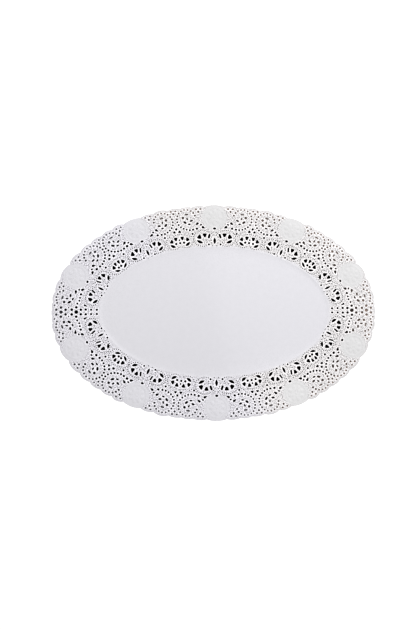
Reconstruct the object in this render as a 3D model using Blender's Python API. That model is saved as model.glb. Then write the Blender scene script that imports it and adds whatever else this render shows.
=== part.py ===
"""Oval paper lace doily: one embossed sheet, die-cut into lace round a plain middle.

The sheet lies flat on its underside, its long way along X. Its lace is the same on both sides
of both middle lines, so each opening is placed in the quarter where X and Y are positive and
repeated. The openings cut here are the largest of each repeat. Sizes are in millimetres.
"""
import math
from collections import namedtuple

import bpy

MM = 0.001

# The sheet. Its thickness is the height that the embossing gives it.
THICKNESS = 1.5
VALLEY_HALF_LENGTH = 177.9
VALLEY_HALF_WIDTH = 117.8
EDGE_FULLNESS = 0.3      # how far the edge stands outside its ellipse between the middle lines

# How far a rim slit bows, how wide the slot of an eye is, and how far the inner wedges of a
# double fan stand to one side
RIM_BOW = 0.4
SLOT_WIDTH = 1.2
INNER_SKEW = 0.35

# Corner points on each opening, and how much of each side is cut off at a wedge's corners
ARC_STEPS = 5
ROUND_STEPS = 8
TIP_CUT = 0.28
CORNER_CUT = 0.17
SCALLOP_STEPS = 6
SCALLOP_ROUNDNESS = 0.7

PAPER_COLOUR = (0.76, 0.75, 0.79, 1.0)
PAPER_ROUGHNESS = 0.85

# One quarter of the scalloped edge, from the end of the sheet to the middle of its long side.
# ends_at is an angle on the edge's ellipse, and height is how far the scallop stands out.
Scallop = namedtuple("Scallop", "ends_at height")
SCALLOPS = (
    Scallop(2.4, 0.7), Scallop(5.5, 0.9), Scallop(11.3, 1.5), Scallop(18.0, 1.7),
    Scallop(26.5, 2.2), Scallop(34.0, 2.3), Scallop(39.8, 1.9), Scallop(45.5, 1.7),
    Scallop(50.5, 1.8), Scallop(55.5, 2.3), Scallop(62.5, 1.7), Scallop(67.5, 1.4),
    Scallop(72.9, 2.2), Scallop(77.5, 1.2), Scallop(81.7, 1.1), Scallop(86.5, 1.3),
    Scallop(93.5, 1.8),
)

# Where the motifs sit. turn is the way that a motif faces, in degrees from Y towards X, and
# side is -1 for a motif that is turned over.
Leaf = namedtuple("Leaf", "x y turn width")
LEAVES = (Leaf(0.0, 78.7, 0.0, 2.6), Leaf(74.2, 65.4, 25.0, 2.3), Leaf(125.4, 25.4, 64.0, 2.0))
# rim_u and rim_v are where the rim slit of a fan starts, and rim_width is how wide it is.
Fan = namedtuple("Fan", "x y turn side size bar_width rim_u rim_v rim_width")
FANS = (
    Fan(13.0, 81.5, 0.0, 1, 1.09, 2.0, -0.1, -5.4, 2.8),
    Fan(64.3, 72.5, 21.6, -1, 0.95, 1.4, 0.3, -5.6, 2.6),
    Fan(87.1, 63.5, 21.6, 1, 0.96, 1.6, 0.1, -5.6, 2.6),
    Fan(123.0, 36.7, 62.0, -1, 0.87, 1.3, 0.5, -6.0, 2.5),
    Fan(134.1, 15.9, 62.0, 1, 0.93, 1.5, -0.3, -5.9, 2.6),
)
# apart is how far each hub is from the middle, swell how much larger the wedges are than the
# chart, and right_rim and left_rim how far outside its hub each rim slit starts.
Double = namedtuple("Double", "x y turn apart swell right_rim left_rim rim_width")
DOUBLES = (
    Double(38.8, 78.0, 9.6, 5.0, 1.12, 0.3, 0.4, 2.7),
    Double(106.0, 51.5, 37.1, 2.2, 1.15, -0.5, 0.4, 2.2),
)
Eye = namedtuple("Eye", "x y turn side")
EYES = (
    Eye(31.0, 102.5, 7.2, 1),
    Eye(57.2, 98.3, 15.0, -1),
    Eye(112.1, 76.9, 31.3, 1),
    Eye(132.5, 61.8, 53.0, -1),
    Eye(161.6, 13.9, 72.0, 1),
)
Spray = namedtuple("Spray", "x y turn side")
SPRAYS = (
    Spray(15.1, 96.8, 0.0, 1),
    Spray(68.3, 88.2, 13.0, -1),
    Spray(95.7, 76.6, 23.0, 1),
    Spray(135.4, 46.9, 51.0, -1),
    Spray(149.0, 24.4, 50.0, 1),
)
End = namedtuple("End", "x y across")
END_ROUNDS = (End(152.0, 0.0, 3.9), End(168.4, 0.0, 3.4))
END_DROP_START = (139.6, 5.8)
END_DROP_END = (143.9, 7.7)
END_DROP_WIDTH = 1.9


# Openings, as closed rows of corner points

def lens(start, end, width, bow=0.0):
    """A pointed slit from start to end, bowed sideways to its left."""
    (x0, y0), (x1, y1) = start, end
    length = math.hypot(x1 - x0, y1 - y0)
    left_x, left_y = (y0 - y1) / length, (x1 - x0) / length
    points = []
    for edge in (1, -1):
        for step in range(ARC_STEPS):
            share = step / ARC_STEPS if edge == 1 else 1 - step / ARC_STEPS
            out = math.sin(math.pi * share) * (bow + edge * width / 2)
            points.append((x0 + (x1 - x0) * share + left_x * out,
                           y0 + (y1 - y0) * share + left_y * out))
    return points


def wedge(corners):
    """A triangle with its corners cut short, the first more than the others."""
    points = []
    for index, (x, y) in enumerate(corners):
        cut_back = CORNER_CUT if index else TIP_CUT
        for near in (corners[index - 1], corners[(index + 1) % 3]):
            points.append((x + (near[0] - x) * cut_back, y + (near[1] - y) * cut_back))
    return points


def bar(start, end, width):
    """A straight slot with blunt round ends."""
    (x0, y0), (x1, y1) = start, end
    along = math.atan2(y1 - y0, x1 - x0)
    points = []
    for (x, y), facing in ((end, along), (start, along + math.pi)):
        for swing in (-90, -40, 40, 90):
            angle = facing + math.radians(swing)
            inset = -width / 2
            points.append((x + inset * math.cos(facing) + width / 2 * math.cos(angle),
                           y + inset * math.sin(facing) + width / 2 * math.sin(angle)))
    return points


def oval(u, v, length, width, tilt=0.0):
    """An oval about (u, v), its length turned by tilt from the first axis."""
    turn = math.radians(tilt)
    points = []
    for step in range(ROUND_STEPS):
        angle = 2 * math.pi * step / ROUND_STEPS
        a, b = length / 2 * math.cos(angle), width / 2 * math.sin(angle)
        points.append((u + a * math.cos(turn) - b * math.sin(turn),
                       v + a * math.sin(turn) + b * math.cos(turn)))
    return points


def drop(start, end, width):
    """A pear-shaped hole, pointed at its start and round at its end."""
    (x0, y0), (x1, y1) = start, end
    along = math.atan2(y1 - y0, x1 - x0)
    centre_x, centre_y = x1 - width / 2 * math.cos(along), y1 - width / 2 * math.sin(along)
    points = [start]
    for swing in (-110, -60, -20, 20, 60, 110):
        angle = along + math.radians(swing)
        points.append((centre_x + width / 2 * math.cos(angle),
                       centre_y + width / 2 * math.sin(angle)))
    return points


# Motifs, each in its own frame: u runs along the edge of the sheet and v out towards it

def place(points, motif, side=1):
    """Puts points of a motif's frame on the sheet."""
    turn = math.radians(motif.turn)
    return [(motif.x + side * u * math.cos(turn) + v * math.sin(turn),
             motif.y - side * u * math.sin(turn) + v * math.cos(turn)) for u, v in points]


def leaf(motif):
    """The pointed leaf between the two fans of a pair."""
    return [place(lens((0.0, -3.8), (0.0, 3.8), motif.width), motif)]


def fan(motif):
    """A rim slit, two wedges and a bar round a hub."""
    s, rim_u, rim_v = motif.size, motif.rim_u, motif.rim_v
    openings = (
        lens((rim_u, rim_v), (rim_u + 6.3 * s, rim_v + 3.3), motif.rim_width, -RIM_BOW),
        wedge(((1.0 * s, -1.2), (6.5 * s, 0.3), (3.1 * s, 5.1))),
        wedge(((-2.1 * s, 0.0), (0.8 * s, 5.35), (-4.1 * s, 5.45))),
        bar((-5.6 * s, -0.1), (-7.1 * s, 5.1), motif.bar_width),
    )
    return [place(opening, motif, motif.side) for opening in openings]


def swollen(corners, factor):
    """Corners moved away from their middle."""
    middle_u = sum(u for u, _ in corners) / len(corners)
    middle_v = sum(v for _, v in corners) / len(corners)
    return [(middle_u + (u - middle_u) * factor, middle_v + (v - middle_v) * factor)
            for u, v in corners]


def double_fan(motif):
    """Two fans that meet, each a rim slit and two wedges."""
    hub = motif.apart
    inner_half = 1.0 + 0.2 * hub
    openings = []
    for side, rim in ((1, motif.right_rim), (-1, motif.left_rim)):
        inner = 1.05 + 0.52 * hub + INNER_SKEW * side
        outer_corners = ((hub + 1.9, -1.3), (hub + 6.1, 0.0), (hub + 3.3, 3.5))
        inner_corners = ((inner, 0.0), (inner + inner_half, 4.5), (inner - inner_half, 4.6))
        half = (
            lens((hub + rim, -5.9), (hub + rim + 5.6, -2.5), motif.rim_width, -RIM_BOW),
            wedge(swollen(outer_corners, motif.swell)),
            wedge(swollen(inner_corners, motif.swell)),
        )
        openings += [place(opening, motif, side) for opening in half]
    return openings


def eye(motif):
    """The slot and the largest petals inside a round eye."""
    openings = (
        bar((-2.4, 5.7), (1.6, 5.9), SLOT_WIDTH),
        oval(3.9, 2.5, 2.7, 2.6),
        oval(2.3, -2.9, 4.0, 2.2, 42),
        oval(-5.0, -1.8, 3.6, 1.9, -14),
    )
    return [place(opening, motif, motif.side) for opening in openings]


def spray(motif):
    """The two long drops of a curved spray, outside a fan."""
    return [place(drop((-4.7, -4.0), (-0.9, -2.1), 2.5), motif, motif.side),
            place(drop((6.1, -0.4), (2.8, 2.4), 2.4), motif, motif.side)]


# The whole sheet

def edge_point(angle):
    """A point on the scalloped edge, for an angle of 0 to 90 degrees."""
    start = -SCALLOPS[0].ends_at
    for scallop in SCALLOPS:
        if angle <= scallop.ends_at:
            break
        start = scallop.ends_at
    share = (angle - start) / (scallop.ends_at - start)
    turn = math.radians(angle)
    out = scallop.height * math.sin(math.pi * share) ** SCALLOP_ROUNDNESS
    out += EDGE_FULLNESS * math.sin(2 * turn) ** 2
    return ((VALLEY_HALF_LENGTH + out) * math.cos(turn), (VALLEY_HALF_WIDTH + out) * math.sin(turn))


def edge():
    """The scalloped edge all round."""
    angles = [0.0]
    start = -SCALLOPS[0].ends_at
    for scallop in SCALLOPS:
        for step in range(1, SCALLOP_STEPS + 1):
            angle = start + (scallop.ends_at - start) * step / SCALLOP_STEPS
            if 0.01 < angle < 89.99:
                angles.append(angle)
        start = scallop.ends_at
    angles.append(90.0)
    quarter = [edge_point(angle) for angle in angles]
    half = quarter + [(-x, y) for x, y in reversed(quarter[:-1])]
    return half + [(x, -y) for x, y in reversed(half[1:-1])]


def repeated(points):
    """An opening in all four quarters, or in two where it lies across a middle line."""
    middle_x = sum(x for x, _ in points) / len(points)
    middle_y = sum(y for _, y in points) / len(points)
    for flip_x in (1, -1) if abs(middle_x) > 0.5 else (1,):
        for flip_y in (1, -1) if abs(middle_y) > 0.5 else (1,):
            yield [(flip_x * x, flip_y * y) for x, y in points]


def openings():
    """The openings of one quarter."""
    for motif in LEAVES:
        yield from leaf(motif)
    for motif in FANS:
        yield from fan(motif)
    for motif in DOUBLES:
        yield from double_fan(motif)
    for motif in EYES:
        yield from eye(motif)
    for motif in SPRAYS:
        yield from spray(motif)
    for end in END_ROUNDS:
        yield oval(end.x, end.y, end.across, end.across)
    yield drop(END_DROP_START, END_DROP_END, END_DROP_WIDTH)


def paper():
    material = bpy.data.materials.new("paper")
    material.use_nodes = True
    shader = material.node_tree.nodes["Principled BSDF"]
    shader.inputs["Base Color"].default_value = PAPER_COLOUR
    shader.inputs["Roughness"].default_value = PAPER_ROUGHNESS
    shader.inputs["Metallic"].default_value = 0.0
    material.diffuse_color = PAPER_COLOUR
    return material


def doily_sheet():
    """The sheet as a filled flat curve, its openings as further closed splines."""
    curve = bpy.data.curves.new("doily", "CURVE")
    curve.dimensions = "2D"
    curve.fill_mode = "BOTH"
    curve.extrude = THICKNESS / 2 * MM
    outlines = [edge()]
    for opening in openings():
        outlines += repeated(opening)
    for outline in outlines:
        spline = curve.splines.new("POLY")
        spline.points.add(len(outline) - 1)
        for point, (x, y) in zip(spline.points, outline):
            point.co = (x * MM, y * MM, 0.0, 1.0)
        spline.use_cyclic_u = True
    curve.materials.append(paper())
    sheet = bpy.data.objects.new("doily", curve)
    sheet.location.z = THICKNESS / 2 * MM
    return sheet


for old in list(bpy.data.objects):
    bpy.data.objects.remove(old, do_unlink=True)

parts = bpy.data.collections.new("paper_lace_doily")
bpy.context.scene.collection.children.link(parts)
parts.objects.link(doily_sheet())
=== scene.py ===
import math
from collections import namedtuple

import bpy
import numpy as np
from mathutils import Matrix, Vector, kdtree
from mathutils.geometry import delaunay_2d_cdt


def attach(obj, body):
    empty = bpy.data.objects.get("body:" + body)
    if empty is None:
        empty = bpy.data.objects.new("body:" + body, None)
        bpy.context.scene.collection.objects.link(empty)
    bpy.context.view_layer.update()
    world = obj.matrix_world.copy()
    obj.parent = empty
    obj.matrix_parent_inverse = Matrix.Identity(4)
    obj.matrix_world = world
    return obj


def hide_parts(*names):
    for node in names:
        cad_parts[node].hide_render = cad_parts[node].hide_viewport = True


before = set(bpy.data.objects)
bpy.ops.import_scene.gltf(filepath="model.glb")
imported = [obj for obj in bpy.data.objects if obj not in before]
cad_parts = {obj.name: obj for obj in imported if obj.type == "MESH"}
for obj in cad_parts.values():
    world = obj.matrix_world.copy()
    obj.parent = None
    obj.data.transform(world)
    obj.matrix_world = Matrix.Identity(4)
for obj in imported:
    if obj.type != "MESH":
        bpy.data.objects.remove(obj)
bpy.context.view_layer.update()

# Camera.
# It stands over the near left side of the sheet and looks down at it, seven degrees off square.
CAMERA_PLACE = Vector((-0.0443, -0.0741, 0.7023))
CAMERA_AIM = Vector((-0.0062, -0.0042, 0.0))
CAMERA_ROLL = math.radians(0.7)
CAMERA_LENS = 36.68

forward = (CAMERA_AIM - CAMERA_PLACE).normalized()
right = forward.cross(Vector((math.sin(CAMERA_ROLL), math.cos(CAMERA_ROLL), 0.0))).normalized()
up = right.cross(forward)
camera = bpy.data.objects.new("camera", bpy.data.cameras.new("camera"))
camera.data.lens = CAMERA_LENS
camera.matrix_world = (Matrix.Translation(CAMERA_PLACE)
                       @ Matrix((right, up, -forward)).transposed().to_4x4())
bpy.context.scene.collection.objects.link(camera)
bpy.context.scene.camera = camera


# Studio.
# A plain pale floor, one big soft light over the far right corner, and even light all round.
FLOOR_SIZE = 6.0
FLOOR_DROP = 0.00006
FLOOR_COLOUR = (0.97, 0.97, 0.97, 1.0)
ROOM_LIGHT = 0.87
SOFTBOX_PLACE = Vector((0.75, 1.02, 1.28))
SOFTBOX_SIZE = 1.0
SOFTBOX_POWER = 18.7
WHITE = (1.0, 1.0, 1.0, 1.0)
VIEW_GAMMA = 0.535


def plain_material(name, colour, roughness, specular):
    material = bpy.data.materials.new(name)
    material.use_nodes = True
    shader = material.node_tree.nodes["Principled BSDF"]
    shader.inputs["Base Color"].default_value = colour
    shader.inputs["Roughness"].default_value = roughness
    shader.inputs["Specular IOR Level"].default_value = specular
    return material


bpy.ops.mesh.primitive_plane_add(size=FLOOR_SIZE, location=(0.0, 0.0, -FLOOR_DROP))
floor = bpy.context.object
floor.name = "floor"
floor.data.materials.append(
    plain_material("pale_floor", FLOOR_COLOUR, roughness=0.9, specular=0.1))

softbox = bpy.data.objects.new("softbox", bpy.data.lights.new("softbox", "AREA"))
softbox.data.shape = "SQUARE"
softbox.data.size = SOFTBOX_SIZE
softbox.data.energy = SOFTBOX_POWER
softbox.location = SOFTBOX_PLACE
softbox.rotation_euler = (-SOFTBOX_PLACE).to_track_quat("-Z", "Y").to_euler()
bpy.context.scene.collection.objects.link(softbox)

world = bpy.context.scene.world or bpy.data.worlds.new("room")
bpy.context.scene.world = world
world.use_nodes = True
world.node_tree.nodes["Background"].inputs["Color"].default_value = WHITE
world.node_tree.nodes["Background"].inputs["Strength"].default_value = ROOM_LIGHT
bpy.context.scene.view_settings.view_transform = "Standard"
bpy.context.scene.view_settings.gamma = VIEW_GAMMA


# Edge of the sheet.
# The die cuts the paper to an oval of shallow scallops. All lengths on the sheet are in
# millimetres, and one quarter is charted, from the end (angle 0) to the middle of the long side.
MM = 0.001
VALLEY_HALF_LENGTH = 177.9
VALLEY_HALF_WIDTH = 117.8
EDGE_FULLNESS = 0.3
SCALLOP_STEPS = 9
SCALLOP_ROUNDNESS = 0.7

Scallop = namedtuple("Scallop", "ends_at height")
SCALLOPS = (
    Scallop(2.4, 0.7), Scallop(5.5, 0.9), Scallop(11.3, 1.5), Scallop(18.0, 1.7),
    Scallop(26.5, 2.2), Scallop(34.0, 2.3), Scallop(39.8, 1.9), Scallop(45.5, 1.7),
    Scallop(50.5, 1.8), Scallop(55.5, 2.3), Scallop(62.5, 1.7), Scallop(67.5, 1.4),
    Scallop(72.9, 2.2), Scallop(77.5, 1.2), Scallop(81.7, 1.1), Scallop(86.5, 1.3),
    Scallop(93.5, 1.8),
)


def edge_point(angle, inset=0.0):
    """A point on the scalloped edge, or inside it, for an angle of 0 to 90 degrees."""
    start = -SCALLOPS[0].ends_at
    for scallop in SCALLOPS:
        if angle <= scallop.ends_at:
            break
        start = scallop.ends_at
    share = (angle - start) / (scallop.ends_at - start)
    turn = math.radians(angle)
    out = scallop.height * math.sin(math.pi * share) ** SCALLOP_ROUNDNESS
    out += EDGE_FULLNESS * math.sin(2 * turn) ** 2 - inset
    return ((VALLEY_HALF_LENGTH + out) * math.cos(turn),
            (VALLEY_HALF_WIDTH + out) * math.sin(turn))


def edge(inset=0.0):
    """The scalloped edge all round."""
    angles = [0.0]
    start = -SCALLOPS[0].ends_at
    for scallop in SCALLOPS:
        for step in range(1, SCALLOP_STEPS + 1):
            angle = start + (scallop.ends_at - start) * step / SCALLOP_STEPS
            if 0.01 < angle < 89.99:
                angles.append(angle)
        start = scallop.ends_at
    angles.append(90.0)
    quarter = [edge_point(angle, inset) for angle in angles]
    half = quarter + [(-x, y) for x, y in reversed(quarter[:-1])]
    return half + [(x, -y) for x, y in reversed(half[1:-1])]


# Shade card.
# The openings of the lace get painted shade from a black card of the sheet's own outline, a
# little smaller, laid under it. Near its edge the painted shade fades to grey on the near
# left and to brown on the far right, past a slanting line. It belongs to the studio, as the
# floor does.
SHADE_CARD_INSET = 1.6
SHADE_CARD_DROP = 0.00003
SHADE_CARD_BLACK = (0.002, 0.002, 0.002, 1.0)
SHADE_CARD_GREY = (0.43, 0.42, 0.455, 1.0)
SHADE_CARD_BROWN = (0.48, 0.41, 0.375, 1.0)
SHADE_FADES_FROM = 0.86
SHADE_FADES_TO = 1.0
SHADE_CARD_LEAN = 0.26
WARM_SLANT = 0.6
WARM_FROM = -35.0
WARM_TO = 10.0

shade_card_mesh = bpy.data.meshes.new("shade_card")
shade_card_points = edge(SHADE_CARD_INSET)
shade_card_mesh.from_pydata([(x * MM, y * MM, -SHADE_CARD_DROP) for x, y in shade_card_points], [],
                      [list(range(len(shade_card_points)))])
shade_card = bpy.data.objects.new("shade_card", shade_card_mesh)
shade_card_material = plain_material("shade_card_material", SHADE_CARD_BLACK, roughness=1.0, specular=0.0)
shade_card_nodes, shade_card_links = shade_card_material.node_tree.nodes, shade_card_material.node_tree.links


def shade_card_vector(operation, source, constant=(0.0, 0.0, 0.0)):
    """A vector step in the shade card's material."""
    step = shade_card_nodes.new("ShaderNodeVectorMath")
    step.operation = operation
    step.inputs[1].default_value = constant
    shade_card_links.new(source, step.inputs[0])
    return step.outputs["Vector" if operation == "MULTIPLY" else "Value"]


def shade_card_rise(source, start, end):
    """0 below the start and 1 above the end, in the shade card's material."""
    step = shade_card_nodes.new("ShaderNodeMapRange")
    step.inputs["From Min"].default_value = start
    step.inputs["From Max"].default_value = end
    shade_card_links.new(source, step.inputs["Value"])
    return step.outputs["Result"]


shade_card_place = shade_card_nodes.new("ShaderNodeTexCoord").outputs["Object"]
oval_place = shade_card_vector("MULTIPLY", shade_card_place,
                         (1 / (VALLEY_HALF_LENGTH * MM), 1 / (VALLEY_HALF_WIDTH * MM), 0.0))
fade_place = shade_card_nodes.new("ShaderNodeMath")
shade_card_links.new(shade_card_vector("LENGTH", oval_place), fade_place.inputs[0])
shade_card_links.new(shade_card_vector("DOT_PRODUCT", shade_card_place, (SHADE_CARD_LEAN, SHADE_CARD_LEAN, 0.0)),
               fade_place.inputs[1])
brown_place = shade_card_vector("DOT_PRODUCT", shade_card_place, (1.0, WARM_SLANT, 0.0))

# The card's colour is painted shade for the openings: black, grey near left, brown far right.
pale = shade_card_nodes.new("ShaderNodeMix")
pale.data_type = "RGBA"
pale.inputs["A"].default_value = SHADE_CARD_GREY
pale.inputs["B"].default_value = SHADE_CARD_BROWN
shade_card_links.new(shade_card_rise(brown_place, WARM_FROM * MM, WARM_TO * MM), pale.inputs["Factor"])
shade_card_colour = shade_card_nodes.new("ShaderNodeMix")
shade_card_colour.data_type = "RGBA"
shade_card_colour.inputs["A"].default_value = SHADE_CARD_BLACK
shade_card_links.new(pale.outputs["Result"], shade_card_colour.inputs["B"])
shade_card_links.new(shade_card_rise(fade_place.outputs[0], SHADE_FADES_FROM, SHADE_FADES_TO),
               shade_card_colour.inputs["Factor"])
shade_card_links.new(shade_card_colour.outputs["Result"], shade_card_nodes["Principled BSDF"].inputs["Base Color"])
shade_card_mesh.materials.append(shade_card_material)
bpy.context.scene.collection.objects.link(shade_card)


# Openings of the lace.
# The die punches them clean through the paper, so each is a closed row of corner points. Every
# opening is charted in one quarter and repeated over the two middle lines, except where it lies
# on one.
ARC_STEPS = 6
TIP_CUT = 0.28
CORNER_CUT = 0.17
ON_MIDDLE_LINE = 0.5
openings = []
pinholes = []


def lens(start, end, width, bow=0.0):
    """A pointed slit from start to end, bowed sideways to its left."""
    (x0, y0), (x1, y1) = start, end
    length = math.hypot(x1 - x0, y1 - y0)
    left_x, left_y = (y0 - y1) / length, (x1 - x0) / length
    points = []
    for side in (1, -1):
        for step in range(ARC_STEPS):
            share = step / ARC_STEPS if side == 1 else 1 - step / ARC_STEPS
            out = math.sin(math.pi * share) * (bow + side * width / 2)
            points.append((x0 + (x1 - x0) * share + left_x * out,
                           y0 + (y1 - y0) * share + left_y * out))
    return points


def wedge(*corners):
    """A triangle with its corners cut short, the first more than the others."""
    points = []
    for index, (x, y) in enumerate(corners):
        cut_back = CORNER_CUT if index else TIP_CUT
        for near in (corners[index - 1], corners[(index + 1) % 3]):
            points.append((x + (near[0] - x) * cut_back, y + (near[1] - y) * cut_back))
    return points


def bar(start, end, width):
    """A straight slot with blunt round ends."""
    (x0, y0), (x1, y1) = start, end
    along = math.atan2(y1 - y0, x1 - x0)
    points = []
    for (x, y), facing in ((end, along), (start, along + math.pi)):
        for swing in (-90, -40, 40, 90):
            angle = facing + math.radians(swing)
            inset = -width / 2
            points.append((x + inset * math.cos(facing) + width / 2 * math.cos(angle),
                           y + inset * math.sin(facing) + width / 2 * math.sin(angle)))
    return points


def oval(u, v, length, width, tilt=0.0, steps=8):
    """An oval about (u, v), its length turned by tilt from the first axis."""
    turn = math.radians(tilt)
    points = []
    for step in range(steps):
        angle = 2 * math.pi * (step + 0.5) / steps
        a, b = length / 2 * math.cos(angle), width / 2 * math.sin(angle)
        points.append((u + a * math.cos(turn) - b * math.sin(turn),
                       v + a * math.sin(turn) + b * math.cos(turn)))
    return points


def drop(start, end, width):
    """A pear-shaped hole, pointed at its start and round at its end."""
    (x0, y0), (x1, y1) = start, end
    along = math.atan2(y1 - y0, x1 - x0)
    centre_x, centre_y = x1 - width / 2 * math.cos(along), y1 - width / 2 * math.sin(along)
    points = [start]
    for swing in (-110, -60, -20, 20, 60, 110):
        angle = along + math.radians(swing)
        points.append((centre_x + width / 2 * math.cos(angle),
                       centre_y + width / 2 * math.sin(angle)))
    return points


def place(points, motif, side=1):
    """Puts points of a motif's own frame on the sheet: u along the edge, v out towards it."""
    turn = math.radians(motif.turn)
    return [(motif.x + side * u * math.cos(turn) + v * math.sin(turn),
             motif.y - side * u * math.sin(turn) + v * math.cos(turn)) for u, v in points]


def middle_of(points):
    return (sum(x for x, _ in points) / len(points), sum(y for _, y in points) / len(points))


def repeated(points):
    """A row of points in all four quarters, or in two where it lies across a middle line."""
    middle_x, middle_y = middle_of(points)
    for flip_x in (1, -1) if abs(middle_x) > ON_MIDDLE_LINE else (1,):
        for flip_y in (1, -1) if abs(middle_y) > ON_MIDDLE_LINE else (1,):
            yield [(flip_x * x, flip_y * y) for x, y in points]


def arc(centre, radius, start, end, pitch, flatness=1.0):
    """A row of points a pitch apart along an arc, its width being its length times flatness."""
    sweep = math.radians(end - start)
    count = max(1, round(abs(sweep) * radius / pitch))
    angles = [math.radians(start) + sweep * step / count for step in range(count + 1)]
    return [(centre[0] + radius * math.cos(angle),
             centre[1] + flatness * radius * math.sin(angle)) for angle in angles]


# Ring of fans.
# Round the plain middle, past a thin raised line, runs a ring of wheels: pairs of fans with a
# pointed leaf between them, and double fans that meet. Rows of pinholes go round each wheel.
RIM_BOW = 0.4
INNER_SKEW = 0.35
PIN_PITCH = 2.4
THREAD_PITCH = 1.1
BORDER_HALF_LENGTH = 126.2
BORDER_HALF_WIDTH = 72.0
WHEEL_RADIUS = 9.8
WHEEL_FLATNESS = 8.3 / 9.8
WHEEL_THREAD_RADIUS = 8.2
WHEEL_THREAD_FLATNESS = 0.85
DOUBLE_WHEEL_RADIUS = 7.9
DOUBLE_THREAD_RADIUS = 6.2

Leaf = namedtuple("Leaf", "x y turn width")
LEAVES = (Leaf(0.0, 78.7, 0.0, 2.6), Leaf(74.2, 65.4, 25.0, 2.3), Leaf(125.4, 25.4, 64.0, 2.0))
LEAF_PINS = ((3.7, -2.4), (3.9, 0.9), (3.4, 4.3), (1.8, 6.4), (2.3, -5.6), (3.5, 8.3), (1.9, 9.6))
Fan = namedtuple("Fan", "x y turn side size bar_width rim_u rim_v rim_width")
FANS = (
    Fan(13.0, 81.5, 0.0, 1, 1.09, 2.0, -0.1, -5.4, 2.8),
    Fan(64.3, 72.5, 21.6, -1, 0.95, 1.4, 0.3, -5.6, 2.6),
    Fan(87.1, 63.5, 21.6, 1, 0.96, 1.6, 0.1, -5.6, 2.6),
    Fan(123.0, 36.7, 62.0, -1, 0.87, 1.3, 0.5, -6.0, 2.5),
    Fan(134.1, 15.9, 62.0, 1, 0.93, 1.5, -0.3, -5.9, 2.6),
)
Double = namedtuple("Double", "x y turn apart reach swell right_rim left_rim rim_width")
DOUBLES = (
    Double(38.8, 78.0, 9.6, 5.0, 0.0, 1.12, 0.3, 0.4, 2.7),
    Double(106.0, 51.5, 37.1, 2.2, 0.9, 1.15, -0.5, 0.4, 2.2),
)
threads = []


def leaf(motif):
    """A pointed slit between two fans, with a row of pinholes down each side."""
    openings.append(place(lens((0.0, -3.8), (0.0, 3.8), motif.width), motif))
    for side in (1, -1) if motif.x else (1,):
        pinholes.extend(place(LEAF_PINS, motif, side))


def fan(motif):
    """A rim slit, two wedges and a bar round a hub, in a wheel of pinholes."""
    size = motif.size
    rim_u, rim_v = motif.rim_u, motif.rim_v
    cuts = (
        lens((rim_u, rim_v), (rim_u + 6.3 * size, rim_v + 3.3), motif.rim_width, -RIM_BOW),
        wedge((1.0 * size, -1.2), (6.5 * size, 0.3), (3.1 * size, 5.1)),
        wedge((-2.1 * size, 0.0), (0.8 * size, 5.35), (-4.1 * size, 5.45)),
        bar((-5.6 * size, -0.1), (-7.1 * size, 5.1), motif.bar_width),
    )
    openings.extend(place(cut, motif, motif.side) for cut in cuts)
    pins = arc((0.0, 0.0), WHEEL_RADIUS * size, -112.0, 128.0, PIN_PITCH, WHEEL_FLATNESS)
    pins += [(-4.0 * size, -4.5), (-3.4 * size, -2.0), (-0.1, -1.7)]
    pins += [(-3.3 * size, 8.6), (-6.0 * size, 8.4)]
    pinholes.extend(place(pins, motif, motif.side))
    thread = arc((0.0, 0.0), WHEEL_THREAD_RADIUS * size, -100.0, 180.0, THREAD_PITCH,
                 WHEEL_THREAD_FLATNESS)
    threads.append(place(thread, motif, motif.side))


def swollen(corners, factor):
    """Corners moved away from their middle."""
    middle_u, middle_v = middle_of(corners)
    return [(middle_u + (u - middle_u) * factor, middle_v + (v - middle_v) * factor)
            for u, v in corners]


def double_fan(motif):
    """Two fans that meet, with dots between them and three holes outside."""
    hub = motif.apart
    centre = (hub + 1.9, -0.4)
    pins = arc(centre, DOUBLE_WHEEL_RADIUS, -126.0, 62.0, PIN_PITCH)
    pins += arc((0.0, -4.0), 11.8, 60.0, 86.0, PIN_PITCH)
    thread = arc(centre, DOUBLE_THREAD_RADIUS, -140.0, 75.0, THREAD_PITCH)
    for side, rim in ((1, motif.right_rim), (-1, motif.left_rim)):
        inner = 1.05 + 0.52 * hub + INNER_SKEW * side
        inner_half = 1.0 + 0.2 * hub
        outer_corners = ((hub + 1.9, -1.3), (hub + 6.1, 0.0), (hub + 3.3, 3.5))
        inner_corners = ((inner, 0.0), (inner + inner_half, 4.5), (inner - inner_half, 4.6))
        half = (
            lens((hub + rim, -5.9), (hub + rim + 5.6, -2.5), motif.rim_width, -RIM_BOW),
            wedge(*swollen(outer_corners, motif.swell)),
            wedge(*swollen(inner_corners, motif.swell)),
            oval(hub - 0.6, -2.2, 2.4, 2.4),
        )
        openings.extend(place(cut, motif, side) for cut in half)
        pinholes.extend(place(pins, motif, side))
        threads.append(place(thread, motif, side))
    if hub > 4.0:
        openings.append(place(oval(-0.1, -2.0, 2.3, 2.3), motif))
        openings.append(place(oval(0.2, 1.4, 1.5, 1.9), motif))
    rise = motif.reach
    outside = (
        wedge((-1.5, 12.8 + rise), (-3.6, 9.6 + rise), (0.1, 9.6 + rise)),
        wedge((4.2, 12.9 + rise), (2.4, 9.9 + rise), (5.9, 10.0 + rise)),
        oval(1.6, 14.1 + rise, 2.3, 2.5),
    )
    openings.extend(place(cut, motif) for cut in outside)


def border(grown_by=0.0):
    """One quarter of the line round the plain middle, or of a line beside it."""
    half_length, half_width = BORDER_HALF_LENGTH + grown_by, BORDER_HALF_WIDTH + grown_by
    return arc((0.0, 0.0), half_length, 0.0, 90.0, THREAD_PITCH, half_width / half_length)


threads.append(border())
for motif in LEAVES:
    leaf(motif)
for motif in FANS:
    fan(motif)
for motif in DOUBLES:
    double_fan(motif)


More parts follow.
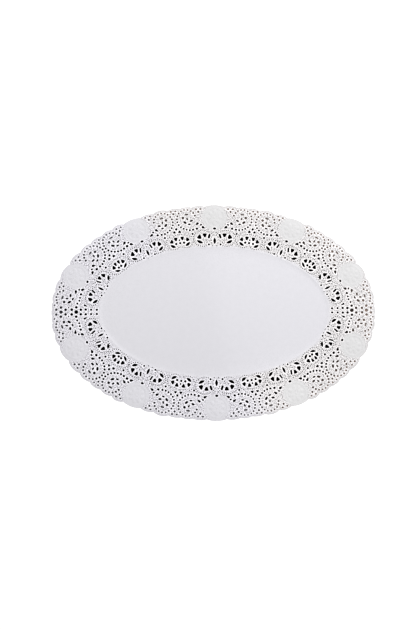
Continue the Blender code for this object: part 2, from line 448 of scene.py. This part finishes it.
# Sprays.
# A curved spray of three drops stands outside each fan of a pair, with a single drop between the
# two sprays of a pair, and closes in the plain medallion behind.
Spray = namedtuple("Spray", "x y turn side")
SPRAYS = (
    Spray(15.1, 96.8, 0.0, 1), Spray(68.3, 88.2, 13.0, -1), Spray(95.7, 76.6, 23.0, 1),
    Spray(135.4, 46.9, 51.0, -1), Spray(149.0, 24.4, 50.0, 1),
)
Single = namedtuple("Single", "x y turn length width")
SINGLES = (
    Single(0.0, 92.6, 0.0, 3.3, 2.2), Single(80.6, 78.0, 16.0, 3.3, 2.2),
    Single(140.1, 33.1, 66.0, 2.8, 2.2),
)


def spray(motif):
    """Three drops along a curve, the middle one small."""
    drops = (
        drop((-4.7, -4.0), (-0.9, -2.1), 2.5),
        oval(0.0, 0.0, 2.3, 1.6, -25),
        drop((6.1, -0.4), (2.8, 2.4), 2.4),
    )
    openings.extend(place(hole, motif, motif.side) for hole in drops)


for motif in SPRAYS:
    spray(motif)
for single in SINGLES:
    openings.append(place(oval(0.0, 0.0, single.length, single.width), single))


# Eyes.
# Round eyes fill the outer band, each a flower of petals and a slot inside a ring of round
# holes, which leads in towards the fans at one end. The eye at the end of the sheet has no ring
# of its own.
EYE_THREAD_RADIUS = 8.0

# lean_u and lean_v say how far the ring leans along each axis of the eye, for each millimetre,
# spread how much wider it is than the chart, and swell how much larger its dots are.
Eye = namedtuple("Eye", "x y turn side lean_u lean_v spread swell")
EYES = (
    Eye(31.0, 102.5, 7.2, 1, 0.0, 0.0, 1.0, 0.95),
    Eye(57.2, 98.3, 15.0, -1, -0.055, 0.0, 1.0, 0.96),
    Eye(112.1, 76.9, 31.3, 1, 0.065, 0.0, 1.0, 1.05),
    Eye(132.5, 61.8, 53.0, -1, 0.0, -0.095, 1.03, 1.04),
)
END_EYE = Eye(161.6, 13.9, 72.0, 1, 0.0, 0.0, 1.0, 1.0)
Dot = namedtuple("Dot", "u v length width")
EYE_RING = (
    Dot(-9.6, 3.5, 2.2, 1.8), Dot(-8.2, 6.8, 2.0, 2.0), Dot(-5.8, 9.3, 1.8, 1.8),
    Dot(-2.4, 11.0, 1.7, 1.7), Dot(1.4, 11.5, 1.7, 1.7), Dot(5.1, 10.4, 1.7, 1.7),
    Dot(7.9, 8.2, 1.8, 1.8), Dot(9.8, 5.1, 1.9, 1.9), Dot(10.7, 1.9, 1.9, 1.9),
    Dot(10.7, -1.5, 1.9, 1.9), Dot(9.6, -4.8, 1.9, 1.9), Dot(7.4, -7.6, 2.0, 2.0),
    Dot(4.6, -9.7, 2.0, 2.0), Dot(1.5, -11.2, 2.0, 2.0), Dot(-1.9, -12.1, 2.1, 2.1),
    Dot(-5.6, -12.0, 2.3, 2.2), Dot(-10.0, -11.4, 2.7, 2.4),
)


def flower(motif):
    """The slot and the five petals of an eye, inside a round thread."""
    petals = (
        bar((-2.4, 5.7), (1.6, 5.9), 1.2),
        oval(3.9, 2.5, 2.7, 2.6),
        oval(2.3, -2.9, 4.0, 2.2, 42),
        oval(-5.0, -1.8, 3.6, 1.9, -14),
        oval(-2.2, -5.4, 3.1, 1.6, 7),
        oval(-0.7, 0.8, 3.0, 1.55, 70),
    )
    openings.extend(place(petal, motif, motif.side) for petal in petals)
    thread = arc((0.0, 0.0), EYE_THREAD_RADIUS, 0.0, 360.0, THREAD_PITCH)
    threads.append(place(thread, motif, motif.side))


for motif in EYES + (END_EYE,):
    flower(motif)
for motif in EYES:
    for dot in EYE_RING:
        u = motif.spread * (dot.u + motif.lean_u * dot.v)
        v = motif.spread * (dot.v + motif.lean_v * dot.u)
        length, width = dot.length * motif.swell, dot.width * motif.swell
        openings.append(place(oval(u, v, length, width), motif, motif.side))


# Loose holes.
# Threes of round holes stand between the eyes and beside each medallion, a dot stands in each
# fan, and rows of holes run along and across the sheet's long middle line.
Hole = namedtuple("Hole", "x y length width")
HOLES = (
    Hole(6.5, 74.6, 2.0, 2.1), Hole(66.4, 63.7, 2.0, 1.9), Hole(78.5, 59.3, 1.9, 1.9),
    Hole(118.3, 28.3, 1.9, 2.0), Hole(124.7, 18.0, 1.9, 1.9),
    Hole(24.6, 86.5, 2.1, 2.1), Hole(55.3, 81.8, 2.2, 2.1), Hole(100.8, 63.8, 2.2, 2.2),
    Hole(120.3, 48.8, 2.2, 2.2),
    Hole(45.8, 108.8, 2.0, 2.1), Hole(48.7, 111.5, 2.1, 1.9), Hole(43.6, 112.0, 2.1, 1.6),
    Hole(127.7, 75.7, 1.9, 1.9), Hole(132.3, 76.5, 1.5, 1.5), Hole(128.1, 79.6, 1.8, 1.8),
    Hole(18.1, 111.5, 1.8, 2.4), Hole(15.4, 114.8, 2.4, 1.6), Hole(20.7, 114.6, 2.4, 1.6),
    Hole(73.0, 102.3, 1.9, 2.1), Hole(71.9, 106.2, 2.2, 1.5), Hole(77.0, 104.5, 2.0, 1.7),
    Hole(105.1, 89.9, 1.8, 2.2), Hole(108.8, 91.9, 2.0, 1.7), Hole(104.1, 94.0, 2.0, 1.5),
    Hole(148.6, 56.9, 2.0, 2.0), Hole(153.3, 56.8, 2.0, 2.0), Hole(150.1, 60.7, 1.8, 1.8),
    Hole(170.2, 27.3, 1.9, 2.1), Hole(166.0, 28.3, 2.0, 1.9), Hole(168.2, 31.9, 1.8, 1.8),
    Hole(175.5, 7.5, 1.6, 1.6), Hole(172.7, 10.1, 1.8, 1.9), Hole(173.4, 13.1, 1.8, 1.9),
    Hole(173.6, 16.5, 1.9, 1.9), Hole(172.2, 19.7, 1.8, 1.8), Hole(169.9, 22.2, 1.9, 1.9),
    Hole(166.2, 23.4, 2.0, 2.0), Hole(147.0, 19.3, 2.5, 2.3), Hole(148.0, 15.5, 2.0, 1.9),
    Hole(148.7, 12.3, 1.9, 2.0), Hole(150.9, 9.2, 1.9, 2.0),
    Hole(129.8, 2.3, 2.3, 2.1), Hole(136.0, 2.4, 2.2, 2.2), Hole(141.8, 2.6, 2.5, 2.4),
    Hole(147.1, 2.5, 2.7, 2.6), Hole(152.0, 0.0, 4.0, 3.9), Hole(152.0, 5.1, 2.8, 2.6),
    Hole(156.9, 2.6, 2.8, 2.7), Hole(163.5, 2.5, 2.6, 2.6), Hole(168.4, 0.0, 3.5, 3.4),
    Hole(168.5, 5.0, 2.7, 2.6), Hole(173.5, 2.6, 2.5, 2.5), Hole(160.3, 4.8, 1.2, 1.2),
)

for hole in HOLES:
    openings.append(oval(hole.x, hole.y, hole.length, hole.width))
openings.append(drop((139.6, 5.8), (143.9, 7.7), 1.9))


# Medallions.
# Uncut rounds of paper between the groups of eyes, each embossed with one plain blossom: a
# boss, eight petals, a ring, and short ribs that run out to the edge.
Medallion = namedtuple("Medallion", "x y turn")
MEDALLIONS = (
    Medallion(0.0, 105.2, 0.0), Medallion(87.0, 90.6, 21.1), Medallion(152.4, 39.5, 58.7),
)
MEDALLION_RADIUS = 14.0
BOSS_RADIUS = 2.3
BOSS_HEIGHT = 0.35
PETALS = 8
PETAL_ROOT = 3.4
PETAL_LENGTH = 5.4
PETAL_POINT = 0.7
PETAL_HEIGHT = 0.30
PETAL_EDGE = 0.25
SPINE_DEPTH = 0.12
SPINE_WIDTH = 0.8
RING_RADIUS = 10.9
RING_HEIGHT = 0.30
RING_WIDTH = 0.6
RIBS = 26
RIB_HEIGHT = 0.22
RIB_START = 11.8
RIB_FULL = 12.4
RIB_FALL = 14.2
RIB_END = 15.2


def rising(amounts, start, end):
    """0 below the start, 1 above the end, and a straight rise between them."""
    return np.clip((amounts - start) / (end - start), 0, 1)


def blossom(x, y):
    """How high the blossom stands at points given from its middle, in millimetres."""
    radius = np.hypot(x, y)
    angle = np.arctan2(y, x)
    height = BOSS_HEIGHT * np.sqrt(np.clip(1 - (radius / BOSS_RADIUS) ** 2, 0, 1))
    reach = PETAL_ROOT + PETAL_LENGTH * np.abs(np.cos(PETALS * angle / 2)) ** PETAL_POINT
    in_petal = 1 / (1 + np.exp(np.clip((radius - reach) / PETAL_EDGE, -50, 50)))
    from_spine = np.abs(np.sin(PETALS * angle / 2)) * radius
    petal = PETAL_HEIGHT - SPINE_DEPTH * np.exp(-(from_spine / SPINE_WIDTH) ** 2)
    height += np.where(radius > BOSS_RADIUS, in_petal * petal, 0)
    height += RING_HEIGHT * np.exp(-((radius - RING_RADIUS) / RING_WIDTH) ** 2)
    ribs = 0.5 + 0.5 * np.cos(RIBS * angle)
    ribs *= rising(radius, RIB_START, RIB_FULL) * (1 - rising(radius, RIB_FALL, RIB_END))
    return height + RIB_HEIGHT * ribs


# Sheet.
# One piece of thin paper. Its points stand close together where it is cut and pressed, and far
# apart on the plain middle, and are joined into triangles. The room of a point is the least
# distance to the points that were put down before it.
PLAIN_HALF_LENGTH = 126.0
PLAIN_HALF_WIDTH = 69.0
PIN_ACROSS = 0.97
PIN_CORNERS = 5
PIN_APART = 1.3
FROM_EDGE = 0.45
FROM_RIM = 0.3
NEAR_OPENING = 2.5
RIM_SAMPLES = 0.25
CELL = 1.0

RIM_STEP = 0.42
RIM_ROOM = 0.38
PIN_STEP = 0.4
PIN_ROOM = 0.36
EDGE_STEPS = (0.8, 1.7)
EDGE_ROOM = 0.6
THREAD_ROOM = 0.5
BORDER_STEP = 0.9
BORDER_ROOM = 0.6
MEDALLION_PITCH = 1.05
MEDALLION_ROWS = 17
MEDALLION_MARGIN = 0.8
MEDALLION_ROOM = 0.7 * MEDALLION_PITCH
LACE_FIELD = (180, 120)
LACE_PITCH = 1.35
LACE_ROOM = 0.62 * LACE_PITCH
PLAIN_FIELD = (130, 72)
PLAIN_PITCH = 6.0
PLAIN_ROOM = 0.6 * PLAIN_PITCH
PLAIN_INSIDE = 0.95

spaced_pins = []
for x, y in pinholes:
    if all(math.hypot(x - other_x, y - other_y) > PIN_APART for other_x, other_y in spaced_pins):
        spaced_pins.append((x, y))
pin_rows = [oval(x, y, PIN_ACROSS, PIN_ACROSS, steps=PIN_CORNERS) for x, y in spaced_pins]
cut = [row for opening in openings for row in repeated(opening)]
cut_pins = [row for opening in pin_rows for row in repeated(opening)]
all_cut = cut + cut_pins
all_threads = [row for thread in threads for row in repeated(thread)]
outline = edge()


def grown(points, by):
    """A row of points moved outwards, each along the mean of its two edges' normals."""
    centre_x, centre_y = middle_of(points)
    moved = []
    for index, (x, y) in enumerate(points):
        before, after = points[index - 1], points[(index + 1) % len(points)]
        normal = Vector((after[1] - before[1], before[0] - after[0])).normalized()
        if normal.dot(Vector((x - centre_x, y - centre_y))) < 0:
            normal.negate()
        moved.append((x + normal.x * by, y + normal.y * by))
    return moved


def tree_of(points):
    tree = kdtree.KDTree(len(points))
    for index, (x, y) in enumerate(points):
        tree.insert((x, y, 0.0), index)
    tree.balance()
    return tree


def sampled(points, pitch, closed=True):
    """Points a pitch apart along a row."""
    samples = []
    pairs = zip(points, points[1:] + points[:1]) if closed else zip(points, points[1:])
    for (x0, y0), (x1, y1) in pairs:
        count = max(1, round(math.hypot(x1 - x0, y1 - y0) / pitch))
        for step in range(count):
            samples.append((x0 + (x1 - x0) * step / count, y0 + (y1 - y0) * step / count))
    return samples


def contains(points, x, y):
    """Whether an opening, which is convex, contains a point."""
    signs = set()
    for (x0, y0), (x1, y1) in zip(points, points[1:] + points[:1]):
        signs.add((x1 - x0) * (y - y0) - (y1 - y0) * (x - x0) > 0)
    return len(signs) == 1


def depth_in_sheet(x, y):
    """How far inside the scalloped edge a point lies; below 0 outside it."""
    angle = math.degrees(math.atan2(abs(y) / VALLEY_HALF_WIDTH, abs(x) / VALLEY_HALF_LENGTH))
    edge_x, edge_y = edge_point(angle)
    return math.hypot(edge_x, edge_y) - math.hypot(x, y)


def plain_share(x, y):
    """Below 1 on the plain middle, and above 1 on the lace."""
    return np.hypot(x / PLAIN_HALF_LENGTH, y / PLAIN_HALF_WIDTH)


rims, rim_owner = [], []
for index, row in enumerate(all_cut):
    rim = sampled(row, RIM_SAMPLES)
    rims += rim
    rim_owner += [index] * len(rim)
rim_tree = tree_of(rims)

corners = []
cells = {}


def clear_of_others(x, y, room):
    """Whether no point kept before is nearer than the room."""
    reach = math.ceil(room / CELL)
    column, row = math.floor(x / CELL), math.floor(y / CELL)
    for near_column in range(column - reach, column + reach + 1):
        for near_row in range(row - reach, row + reach + 1):
            for other_x, other_y in cells.get((near_column, near_row), ()):
                if (other_x - x) ** 2 + (other_y - y) ** 2 < room * room:
                    return False
    return True


def keep(x, y):
    corners.append((x, y))
    cells.setdefault((math.floor(x / CELL), math.floor(y / CELL)), []).append((x, y))


def offer(x, y, room):
    """Keeps a point if it is on the paper and far enough from the points kept before."""
    if depth_in_sheet(x, y) < FROM_EDGE or not clear_of_others(x, y, room):
        return
    _, index, distance = rim_tree.find((x, y, 0.0))
    if distance < FROM_RIM:
        return
    if distance < NEAR_OPENING and contains(all_cut[rim_owner[index]], x, y):
        return
    keep(x, y)


def offer_row(points, room):
    for x, y in points:
        offer(x, y, room)


def lattice(field, pitch, room, wanted):
    """Offers the points of a triangular lattice over a field, where they are wanted."""
    half_length, half_width = field
    rows = math.ceil(half_width / (pitch * math.sqrt(0.75)))
    columns = math.ceil(half_length / pitch)
    for row in range(-rows, rows + 1):
        y = row * pitch * math.sqrt(0.75)
        for column in range(-columns, columns + 1):
            x = (column + 0.5 * (row % 2)) * pitch
            if wanted(x, y):
                offer(x, y, room)


constraints = []
owner = []
for index, row in enumerate([outline] + all_cut):
    first = len(corners)
    for x, y in row:
        keep(x, y)
        owner.append(index)
    constraints += [(first + step, first + (step + 1) % len(row)) for step in range(len(row))]
cut_corners = len(corners)

for row in cut:
    offer_row(grown(row, RIM_STEP), RIM_ROOM)
for row in cut_pins:
    offer_row(grown(row, PIN_STEP), PIN_ROOM)
for inset in EDGE_STEPS:
    offer_row(edge(inset), EDGE_ROOM)
for row in all_threads:
    offer_row(row, THREAD_ROOM)
for beside in (-BORDER_STEP, BORDER_STEP):
    for row in repeated(border(beside)):
        offer_row(row, BORDER_ROOM)

all_medallions = []
for medallion in MEDALLIONS:
    for (x, y), in repeated([(medallion.x, medallion.y)]):
        turn = medallion.turn * (1 if x >= 0 else -1)
        all_medallions.append(Medallion(x, y, turn if y > 0 else 180 - turn))
for medallion in all_medallions:
    for row in range(-MEDALLION_ROWS, MEDALLION_ROWS + 1):
        for column in range(-MEDALLION_ROWS, MEDALLION_ROWS + 1):
            x = (column + 0.5 * (row % 2)) * MEDALLION_PITCH
            y = row * MEDALLION_PITCH * math.sqrt(0.75)
            if math.hypot(x, y) < MEDALLION_RADIUS + MEDALLION_MARGIN:
                offer(medallion.x + x, medallion.y + y, MEDALLION_ROOM)

lattice(LACE_FIELD, LACE_PITCH, LACE_ROOM, lambda x, y: plain_share(x, y) > 1)
lattice(LACE_FIELD, PLAIN_PITCH / 2, PLAIN_ROOM / 2, lambda x, y: plain_share(x, y) > PLAIN_INSIDE)
lattice(PLAIN_FIELD, PLAIN_PITCH, PLAIN_ROOM, lambda x, y: plain_share(x, y) < PLAIN_INSIDE)

flat_points, _, triangles, origins, _, _ = delaunay_2d_cdt(
    [Vector(corner) for corner in corners], constraints, [], 1, 1e-5, True)
owners = [min((owner[i] for i in origin if i < cut_corners), default=-1) for origin in origins]
on_paper = []
for triangle in triangles:
    owned = {owners[corner] for corner in triangle}
    middle = middle_of([flat_points[corner] for corner in triangle])
    outside = owned == {0} and depth_in_sheet(*middle) < 0
    in_opening = len(owned) == 1 and not owned <= {-1, 0}
    if not outside and not in_opening:
        on_paper.append(triangle)


# Relief.
# The press raises a soft rim round each hole, a fine thread round the plain middle and round
# each wheel and eye, and the blossoms. The plain middle lies lowest, with the faint wave of a
# sheet taken off a stack.
PLAIN_LEVEL = 0.32
LACE_LEVEL = 0.58
EDGE_LEVEL = 0.26
EDGE_FALL = 7.0
STEP_FROM = 0.985
STEP_TO = 1.015
WAVE_HEIGHT = 0.07
WAVE_X = 29.0
WAVE_Y = 23.0
WAVE_SHIFT_X = 0.6
WAVE_SHIFT_Y = 0.3
RIM_HEIGHT = 0.22
RIM_WIDTH = 0.42
THREAD_HEIGHT = 0.24
THREAD_WIDTH = 0.5
THREAD_SAMPLES = 0.3
EDGE_SAMPLES = 0.5
BLOSSOM_FROM_RIM = 0.8
MEDALLION_SOFTNESS = 0.5

xy = np.array([tuple(point) for point in flat_points])
sheet_x, sheet_y = xy[:, 0], xy[:, 1]


def distance_to(samples):
    """How far each point of the sheet is from the nearest of the samples."""
    tree = tree_of(samples)
    return np.array([tree.find((x, y, 0.0))[2] for x, y in xy])


def eased(amounts, start, end):
    """0 below the start, 1 above the end, and an easy rise between them."""
    share = rising(amounts, start, end)
    return share * share * (3 - 2 * share)


def along_rows(rows):
    """Samples along open rows of points."""
    return [sample for row in rows for sample in sampled(row, THREAD_SAMPLES, closed=False)]


rim_distance = distance_to(rims)
big_distance = distance_to([sample for row in cut for sample in sampled(row, RIM_SAMPLES)])
thread_distance = distance_to(along_rows(all_threads))
border_distance = distance_to(along_rows(repeated(border())))
edge_distance = distance_to(sampled(outline, EDGE_SAMPLES))

lace = eased(plain_share(sheet_x, sheet_y), STEP_FROM, STEP_TO)
inland = eased(edge_distance, 0, EDGE_FALL)
height = PLAIN_LEVEL + (LACE_LEVEL - PLAIN_LEVEL) * lace
height += (EDGE_LEVEL - LACE_LEVEL) * (1 - inland)
wave = np.sin(sheet_x / WAVE_X + WAVE_SHIFT_X) * np.cos(sheet_y / WAVE_Y + WAVE_SHIFT_Y)
height += WAVE_HEIGHT * (1 - lace) * wave
height += RIM_HEIGHT * np.exp(-((rim_distance - RIM_STEP) / RIM_WIDTH) ** 2)
height += THREAD_HEIGHT * np.exp(-(thread_distance / THREAD_WIDTH) ** 2) * lace * inland
in_medallion = np.zeros(len(xy))
for medallion in all_medallions:
    turn = math.radians(medallion.turn)
    dx, dy = sheet_x - medallion.x, sheet_y - medallion.y
    u = dx * math.cos(turn) - dy * math.sin(turn)
    v = dx * math.sin(turn) + dy * math.cos(turn)
    height += blossom(u, v) * rising(rim_distance, 0, BLOSSOM_FROM_RIM) * inland
    outside = rising(np.hypot(dx, dy), MEDALLION_RADIUS - MEDALLION_SOFTNESS,
                     MEDALLION_RADIUS + MEDALLION_SOFTNESS)
    in_medallion = np.maximum(in_medallion, 1 - outside)

sheet_mesh = bpy.data.meshes.new("paper_sheet")
sheet_mesh.from_pydata(np.column_stack((xy, height)) * MM, [], on_paper)
sheet = bpy.data.objects.new("paper_sheet", sheet_mesh)
bpy.context.scene.collection.objects.link(sheet)


# Tint of the paper, with painted light and shade.
# A painted highlight leaves the paper whitest round each opening and pale along the raised line
# round the plain middle, and painted shade between the pebbles leaves it dullest where it is
# pebbled. The sheet is faintly lilac at the near left and faintly warm at the far right. Three
# layers of numbers on the mesh carry all this to the material.
HALO_NEAR = 0.5
HALO_FAR = 1.45
PIN_HALO = 0.3
PIN_HALO_NEAR = 0.2
PIN_HALO_FAR = 1.0
BORDER_HIGHLIGHT = 0.16
BORDER_NEAR = 0.3
BORDER_FAR = 1.1
OUTER_HALO = 0.85
OUTER_FROM = 1.2
OUTER_TO = 1.3
LACE_FROM = 1.0
LACE_TO = 1.045
PEBBLES_IN_HALO = 0.4
PEBBLES_FROM = 0.6
PEBBLES_TO = 2.4
PLAIN_COLOUR = (0.694, 0.689, 0.709)
MEDALLION_COLOUR = (0.684, 0.681, 0.684)
LILAC_LACE = (0.672, 0.664, 0.688)
WARM_LACE = (0.667, 0.657, 0.660)
LILAC_HIGHLIGHT = (0.822, 0.814, 0.835)
WARM_HIGHLIGHT = (0.822, 0.809, 0.811)
# Painted light on the plain middle: a lean across it and a step past a soft fold.
PLAIN_LIGHT_LEAN_X = -0.00009
PLAIN_LIGHT_LEAN_Y = 0.00015
FOLD_LIGHT_GAIN = 0.010
FOLD_PLACE = 2.0
FOLD_SLANT = 0.15
FOLD_WIDTH = 14.0
SHADE_DEPTH = 0.3
SHADE_FROM = 0.84
SHADE_TO = 0.94
SHADE_WIDTH = 0.5
PALE_PLACE = (80.0, -96.0)
PALE_REACH = 42.0
PALE_GAIN = 0.042


def fading(distance, near, far):
    """1 up to the near distance, 0 past the far one, and an easy fall between them."""
    return 1 - eased(distance, near, far)


def blend(first, second, share):
    """From the first colour to the second, by a share for each point."""
    return np.asarray(first) + (np.asarray(second) - np.asarray(first)) * share[:, None]


lace_tone = rising(np.hypot(sheet_x / BORDER_HALF_LENGTH, sheet_y / BORDER_HALF_WIDTH),
                   LACE_FROM, LACE_TO)
outer = rising(plain_share(sheet_x, sheet_y), OUTER_FROM, OUTER_TO)
near_edge = rising(np.hypot(sheet_x / VALLEY_HALF_LENGTH, sheet_y / VALLEY_HALF_WIDTH),
                   SHADE_FROM, SHADE_TO)
warm_side = eased(sheet_x + WARM_SLANT * sheet_y, WARM_FROM, WARM_TO)

# Painted highlight round the openings and pinholes, and along the line round the plain middle.
highlight_halo = np.maximum(fading(big_distance, HALO_NEAR, HALO_FAR),
                  PIN_HALO * fading(rim_distance, PIN_HALO_NEAR, PIN_HALO_FAR))
highlight_halo *= 1 - (1 - OUTER_HALO) * outer
highlight_halo = np.maximum(highlight_halo, BORDER_HIGHLIGHT * fading(border_distance, BORDER_NEAR, BORDER_FAR))
pebbled = lace_tone * (1 - in_medallion) * (1 - (1 - PEBBLES_IN_HALO) * highlight_halo)
pebbled *= rising(edge_distance, PEBBLES_FROM, PEBBLES_TO)

# Painted light on the plain middle: a touch paler towards the far side, and past a soft fold
# across it.
plain_painted_light = PLAIN_LIGHT_LEAN_X * sheet_x + PLAIN_LIGHT_LEAN_Y * sheet_y
plain_painted_light += FOLD_LIGHT_GAIN * np.tanh((sheet_x + FOLD_SLANT * sheet_y - FOLD_PLACE) / FOLD_WIDTH)
tint_and_painted_light = np.asarray(PLAIN_COLOUR) * (1 + plain_painted_light * (1 - lace_tone))[:, None]
tint_and_painted_light = blend(tint_and_painted_light, blend(LILAC_LACE, WARM_LACE, warm_side), lace_tone)
tint_and_painted_light = blend(tint_and_painted_light, blend(PLAIN_COLOUR, MEDALLION_COLOUR, warm_side), in_medallion)
tint_and_painted_light = blend(tint_and_painted_light, blend(LILAC_HIGHLIGHT, WARM_HIGHLIGHT, warm_side), highlight_halo)

# The rims near the edge are shaded, and one stretch of the edge is paler.
tint_and_painted_light *= 1 - SHADE_DEPTH * (near_edge * fading(big_distance, 0.0, SHADE_WIDTH))[:, None]
pale_distance = np.hypot(sheet_x - PALE_PLACE[0], sheet_y - PALE_PLACE[1])
tint_and_painted_light *= 1 + PALE_GAIN * np.exp(-(pale_distance / PALE_REACH) ** 2)[:, None]

for name, amounts in (("highlight_halo", highlight_halo), ("pebbled", pebbled)):
    layer = sheet_mesh.attributes.new(name, "FLOAT", "POINT")
    layer.data.foreach_set("value", amounts.astype(np.float32))
layer = sheet_mesh.attributes.new("tint_and_painted_light", "FLOAT_COLOR", "POINT")
opaque_tint = np.column_stack((tint_and_painted_light, np.ones(len(xy))))
layer.data.foreach_set("color", opaque_tint.astype(np.float32).ravel())


# Thickness.
# The sheet gets the thickness of its paper downwards, and its small steps are shaded smooth.
PAPER_THICKNESS = 0.22
SMOOTH_UP_TO = math.radians(50)

bpy.ops.object.select_all(action="DESELECT")
sheet.select_set(True)
bpy.context.view_layer.objects.active = sheet
bpy.ops.object.mode_set(mode="EDIT")
bpy.ops.mesh.select_all(action="SELECT")
bpy.ops.mesh.normals_make_consistent(inside=False)
bpy.ops.object.mode_set(mode="OBJECT")
if sheet_mesh.polygons[0].normal.z < 0:
    sheet_mesh.flip_normals()
solid = sheet.modifiers.new("thickness", "SOLIDIFY")
solid.thickness = PAPER_THICKNESS * MM
solid.offset = -1.0
bpy.ops.object.modifier_apply(modifier="thickness")
bpy.ops.object.shade_smooth_by_angle(angle=SMOOTH_UP_TO)


# Paper finish.
# Matt white paper with cloudy fibre and a fine tooth. The press gives the lace a ground of
# small pebbles, with painted shade between them and a painted highlight on their tops, and
# leaves the paper a little smoother in the highlight halo round each opening.
PAPER_SPECULAR = 0.25
ROUGH_PAPER = 0.86
ROUGH_HALO = 0.6
CLOUD_SCALE = 170.0
CLOUD_DETAIL = 4.0
CLOUD_DARK = 0.985
CLOUD_PALE = 1.015
PEBBLE_SCALE = 720.0
PEBBLE_RANDOMNESS = 0.7
PEBBLE_TOP = 0.15
PEBBLE_FOOT = 0.6
PEBBLE_TOP_HIGHLIGHT = 1.32
PEBBLE_GROOVE_SHADE = 0.75
PEBBLE_STRENGTH = 0.5
PEBBLE_HEIGHT = 0.0002
FIBRE_SCALE = 2600.0
FIBRE_DETAIL = 3.0
FIBRE_STRENGTH = 0.25
FIBRE_HEIGHT = 0.00004

material = bpy.data.materials.new("paper")
material.use_nodes = True
nodes, links = material.node_tree.nodes, material.node_tree.links
shader = nodes["Principled BSDF"]
shader.inputs["Specular IOR Level"].default_value = PAPER_SPECULAR
where = nodes.new("ShaderNodeTexCoord").outputs["Object"]


def mesh_layer(name):
    node = nodes.new("ShaderNodeAttribute")
    node.attribute_name = name
    return node


highlight_share = mesh_layer("highlight_halo").outputs["Fac"]
pebbled_share = mesh_layer("pebbled").outputs["Fac"]
tint_colour = mesh_layer("tint_and_painted_light").outputs["Color"]

cloud = nodes.new("ShaderNodeTexNoise")
cloud.inputs["Scale"].default_value = CLOUD_SCALE
cloud.inputs["Detail"].default_value = CLOUD_DETAIL
links.new(where, cloud.inputs["Vector"])
cloud_tone = nodes.new("ShaderNodeMapRange")
cloud_tone.inputs["To Min"].default_value = CLOUD_DARK
cloud_tone.inputs["To Max"].default_value = CLOUD_PALE
links.new(cloud.outputs["Fac"], cloud_tone.inputs["Value"])

pebbles = nodes.new("ShaderNodeTexVoronoi")
pebbles.voronoi_dimensions = "2D"
pebbles.inputs["Scale"].default_value = PEBBLE_SCALE
pebbles.inputs["Randomness"].default_value = PEBBLE_RANDOMNESS
links.new(where, pebbles.inputs["Vector"])
# Painted shade between the pebbles and a painted highlight on their tops; bump raises them too.
pebble_shading_and_height = nodes.new("ShaderNodeMapRange")
pebble_shading_and_height.interpolation_type = "SMOOTHSTEP"
pebble_shading_and_height.inputs["From Min"].default_value = PEBBLE_TOP
pebble_shading_and_height.inputs["From Max"].default_value = PEBBLE_FOOT
pebble_shading_and_height.inputs["To Min"].default_value = PEBBLE_TOP_HIGHLIGHT
pebble_shading_and_height.inputs["To Max"].default_value = PEBBLE_GROOVE_SHADE
links.new(pebbles.outputs["Distance"], pebble_shading_and_height.inputs["Value"])
pebbled_tone = nodes.new("ShaderNodeMix")
pebbled_tone.inputs["A"].default_value = 1.0
links.new(pebbled_share, pebbled_tone.inputs["Factor"])
links.new(pebble_shading_and_height.outputs["Result"], pebbled_tone.inputs["B"])

paper_tone = nodes.new("ShaderNodeMath")
paper_tone.operation = "MULTIPLY"
links.new(cloud_tone.outputs["Result"], paper_tone.inputs[0])
links.new(pebbled_tone.outputs["Result"], paper_tone.inputs[1])
paper_colour = nodes.new("ShaderNodeMix")
paper_colour.data_type = "RGBA"
paper_colour.blend_type = "MULTIPLY"
paper_colour.inputs["Factor"].default_value = 1.0
links.new(tint_colour, paper_colour.inputs["A"])
links.new(paper_tone.outputs[0], paper_colour.inputs["B"])
links.new(paper_colour.outputs["Result"], shader.inputs["Base Color"])

roughness = nodes.new("ShaderNodeMapRange")
roughness.inputs["To Min"].default_value = ROUGH_PAPER
roughness.inputs["To Max"].default_value = ROUGH_HALO
links.new(highlight_share, roughness.inputs["Value"])
links.new(roughness.outputs["Result"], shader.inputs["Roughness"])

pebble_height = nodes.new("ShaderNodeMath")
pebble_height.operation = "MULTIPLY"
links.new(pebble_shading_and_height.outputs["Result"], pebble_height.inputs[0])
links.new(pebbled_share, pebble_height.inputs[1])
pebble_relief = nodes.new("ShaderNodeBump")
pebble_relief.inputs["Strength"].default_value = PEBBLE_STRENGTH
pebble_relief.inputs["Distance"].default_value = PEBBLE_HEIGHT
links.new(pebble_height.outputs[0], pebble_relief.inputs["Height"])
fibre = nodes.new("ShaderNodeTexNoise")
fibre.inputs["Scale"].default_value = FIBRE_SCALE
fibre.inputs["Detail"].default_value = FIBRE_DETAIL
links.new(where, fibre.inputs["Vector"])
tooth = nodes.new("ShaderNodeBump")
tooth.inputs["Strength"].default_value = FIBRE_STRENGTH
tooth.inputs["Distance"].default_value = FIBRE_HEIGHT
links.new(fibre.outputs["Fac"], tooth.inputs["Height"])
links.new(pebble_relief.outputs["Normal"], tooth.inputs["Normal"])
links.new(tooth.outputs["Normal"], shader.inputs["Normal"])

sheet.data.materials.append(material)
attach(sheet, "root")
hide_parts("doily")
